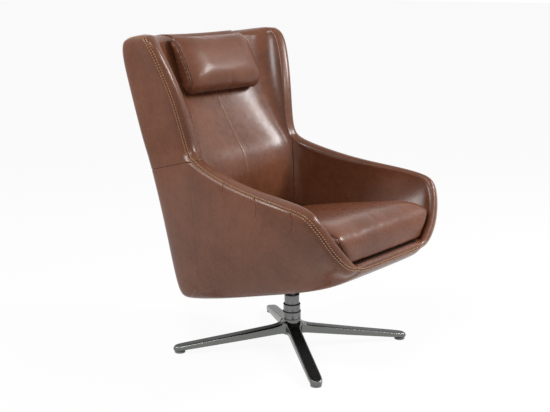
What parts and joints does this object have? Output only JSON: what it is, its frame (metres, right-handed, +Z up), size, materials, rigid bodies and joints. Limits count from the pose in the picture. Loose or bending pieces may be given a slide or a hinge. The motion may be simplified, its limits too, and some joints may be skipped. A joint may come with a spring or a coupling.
{
  "type": "swivel recliner",
  "caption": "Leather wing-back shell chair with loose seat cushion and headrest pillow, tilting on a swivel column over a star base.",
  "frame": {"origin": "middle of the footprint box on the floor; the swivel axis is 36.6 mm in front of it", "axes": "+Z up, the sitter faces -Y, +X at the sitter's left"},
  "size_m": [0.7546, 0.8496, 1.0466],
  "materials": {
    "base_metal": "black chrome, glossy",
    "sleeve_metal": "satin gunmetal",
    "pad_metal": "satin grey",
    "ring_black": "matt black",
    "bright_steel": "bright ground steel",
    "dark_steel": "black powder coat",
    "bush_plastic": "natural acetal",
    "leather": "reddish brown semi-gloss leather",
    "cushion_leather": "soft reddish brown leather",
    "plywood": "bare plywood",
    "foam_shell": "moulded foam",
    "dark_cloth": "black non-woven cloth"
  },
  "bodies": {
    "base": {"star_base": "base_metal", "foot_pads": "pad_metal", "column_tube": "dark_steel", "hub_neck": "sleeve_metal", "middle_sleeve": "sleeve_metal", "upper_sleeve": "sleeve_metal", "lower_ring": "ring_black", "middle_ring": "ring_black", "top_ring": "ring_black", "lower_bush": "bush_plastic", "upper_bush": "bush_plastic", "thrust_pad": "bush_plastic"},
    "turntable": {"spindle": "bright_steel", "hub_bolt": "dark_steel", "hub_washer": "bright_steel", "yoke": "dark_steel", "pivot_pin": "bright_steel", "pin_clips": "dark_steel", "tilt_springs": "bright_steel", "tilt_stop": "ring_black"},
    "shell": {"rocker": "dark_steel", "rocker_bushes": "bush_plastic", "plate_bolts": "dark_steel", "insert_nuts": "bright_steel", "seat_block": "plywood", "rim_frame": "plywood", "outer_shell": "plywood", "inner_shell": "foam_shell", "upper_rim_roll": "leather", "lower_rim_roll": "leather", "upper_back_cover": "leather", "lower_back_cover": "leather", "right_side_cover": "leather", "left_side_cover": "leather", "underside_cover": "leather", "dust_cover": "dark_cloth", "inner_back_lining": "leather", "right_arm_lining": "leather", "left_arm_lining": "leather", "seat_deck": "dark_cloth", "seat_cushion": "cushion_leather", "headrest_flap": "leather"},
    "headrest": {"headrest_pillow": "cushion_leather"},
    "headrest_weight": {"counterweight": "leather"}
  },
  "joints": [
    {"name": "swivel", "type": "hinge", "parent": "base", "child": "turntable", "pos_m": [0, -0.0366, 0.1], "axis": [0, 0, 1], "continuous": true},
    {"name": "tilt", "type": "hinge", "parent": "turntable", "child": "shell", "pos_m": [0, -0.0366, 0.28747], "axis": [-1, 0, 0], "range_deg": [0, 12], "stiffness_Nm_per_rad": 220, "springref_deg": -20.05, "deforming": ["tilt_springs"]},
    {"name": "headrest_slide", "type": "slide", "parent": "shell", "child": "headrest", "axis": [0, 0.3584, 0.9336], "range_m": [-0.04, 0]},
    {"name": "weight_slide", "type": "slide", "parent": "shell", "child": "headrest_weight", "axis": [0, 0, 1], "range_m": [0, 0.04]}
  ],
  "couplings": [
    {"joint": "weight_slide", "follows": "headrest_slide", "ratio": -1}
  ]
}
